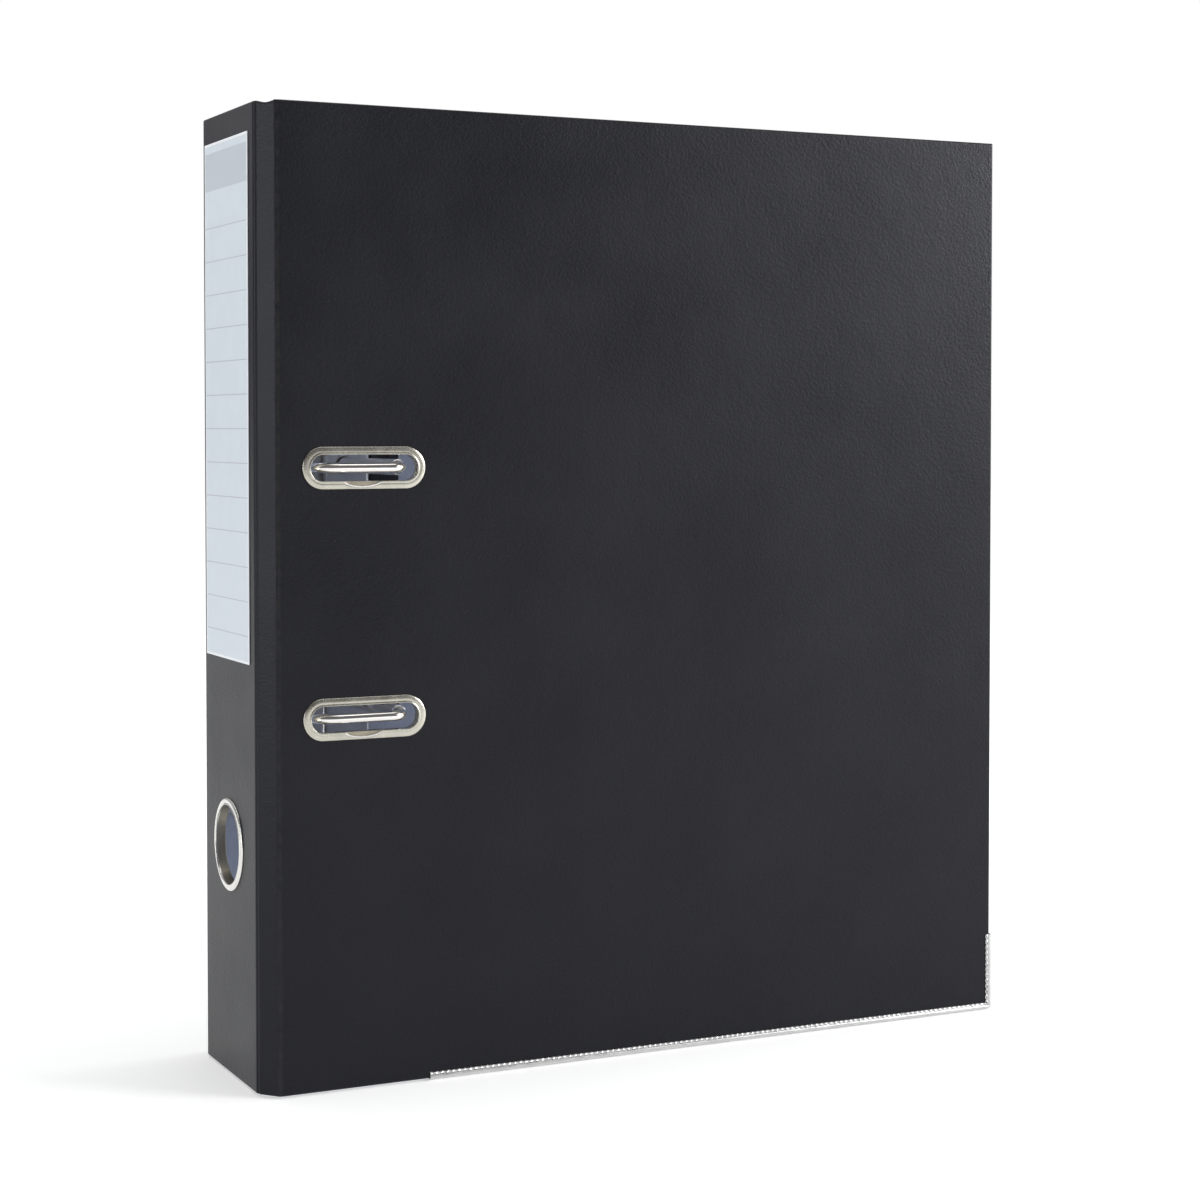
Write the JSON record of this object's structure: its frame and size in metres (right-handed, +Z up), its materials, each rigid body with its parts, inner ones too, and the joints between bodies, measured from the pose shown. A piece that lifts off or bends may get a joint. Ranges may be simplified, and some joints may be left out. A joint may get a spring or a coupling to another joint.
{
  "type": "lever arch file",
  "caption": "Closed lever arch file: creased board case with metal-rimmed slots, finger ring, blank spine label and edge shoes, holding a lever-operated arch mechanism with a compressor.",
  "frame": {"origin": "on the floor, under the middle of the overall box, with the file standing upright", "axes": "+Z up along the spine; +X from the spine to the fore-edge; -Y out of the front cover with the slots, +Y out of the back cover"},
  "size_m": [0.2778, 0.0698, 0.315],
  "materials": {
    "wrap": "black plastic-coated paper with a fine leather grain, soft sheen",
    "board": "grey-brown bookbinding board",
    "liner": "matt blue-grey lining paper",
    "label": "smooth pale paper with grey ruled lines",
    "nickel": "nickel-plated pressed steel, satin",
    "chrome": "polished nickel-chrome wire",
    "steel": "bright zinc-plated steel",
    "catch": "black moulded plastic"
  },
  "bodies": {
    "back_cover": {"back_board": "board", "back_wrap": "wrap", "back_liner": "liner", "back_edge_shoe": "steel", "base_plate": "nickel", "rivet_lower_inner": "nickel", "rivet_lower_outer": "nickel", "rivet_upper_inner": "nickel", "rivet_upper_outer": "nickel", "post_upper": "chrome", "post_lower": "chrome", "lever_pivot_pin": "steel"},
    "back_hinge": {"back_hinge_board": "board", "back_hinge_wrap": "wrap", "back_hinge_liner": "liner"},
    "spine": {"spine_board": "board", "spine_wrap": "wrap", "spine_liner": "liner", "spine_label": "label", "finger_ring": "nickel"},
    "front_hinge": {"front_hinge_board": "board", "front_hinge_wrap": "wrap", "front_hinge_liner": "liner"},
    "front_cover": {"front_board": "board", "front_wrap": "wrap", "front_liner": "liner", "front_edge_shoe": "steel", "slot_rim_upper": "nickel", "slot_rim_lower": "nickel"},
    "arches": {"arch_wire": "chrome"},
    "lever": {"lever_arm": "nickel", "roller_pin": "steel"},
    "roller": {"lever_roller": "steel"},
    "compressor": {"compressor_bar": "nickel", "catch_pin_upper": "steel", "catch_pin_lower": "steel"},
    "catch_upper": {"compressor_catch_upper": "catch"},
    "catch_lower": {"compressor_catch_lower": "catch"}
  },
  "joints": [
    {"name": "spine_open", "type": "hinge", "parent": "back_cover", "child": "back_hinge", "pos_m": [-0.1325, 0.034, 0.1575], "axis": [0, 0, -1], "range_deg": [0, 49.76]},
    {"name": "spine_crease_fold", "type": "hinge", "parent": "back_hinge", "child": "spine", "pos_m": [-0.138, 0.0275, 0.1575], "axis": [0, 0, -1], "range_deg": [0, 40.24]},
    {"name": "front_cover_open", "type": "hinge", "parent": "spine", "child": "front_hinge", "pos_m": [-0.138, -0.0275, 0.1575], "axis": [0, 0, -1], "range_deg": [0, 80.47]},
    {"name": "front_crease_fold", "type": "hinge", "parent": "front_hinge", "child": "front_cover", "pos_m": [-0.1325, -0.034, 0.1575], "axis": [0, 0, -1], "range_deg": [0, 99.53]},
    {"name": "lever_lift", "type": "hinge", "parent": "back_cover", "child": "lever", "pos_m": [-0.107, 0.0125, 0.1425], "axis": [-1, 0, 0], "range_deg": [0, 85]},
    {"name": "arch_swing", "type": "hinge", "parent": "back_cover", "child": "arches", "pos_m": [-0.123, 0.0272, 0.1595], "axis": [0, 0, -1], "range_deg": [0, 48]},
    {"name": "roller_spin", "type": "hinge", "parent": "lever", "child": "roller", "pos_m": [-0.107, 0.021, 0.133], "axis": [1, 0, 0], "continuous": true},
    {"name": "compressor_slide", "type": "slide", "parent": "back_cover", "child": "compressor", "axis": [0, -1, 0], "range_m": [0, 0.035]},
    {"name": "catch_upper_lift", "type": "hinge", "parent": "compressor", "child": "catch_upper", "pos_m": [-0.0782, 0.0262, 0.1995], "axis": [0, 0, -1], "range_deg": [0, 35]},
    {"name": "catch_lower_lift", "type": "hinge", "parent": "compressor", "child": "catch_lower", "pos_m": [-0.0782, 0.0262, 0.1195], "axis": [0, 0, -1], "range_deg": [0, 35]}
  ],
  "couplings": [
    {"joint": "spine_crease_fold", "follows": "spine_open", "ratio": 0.8086},
    {"joint": "front_crease_fold", "follows": "front_cover_open", "ratio": 1.2368},
    {"joint": "lever_lift", "follows": "spine_open", "ratio": 1.7081},
    {"joint": "arch_swing", "follows": "spine_open", "ratio": 0.9646}
  ]
}
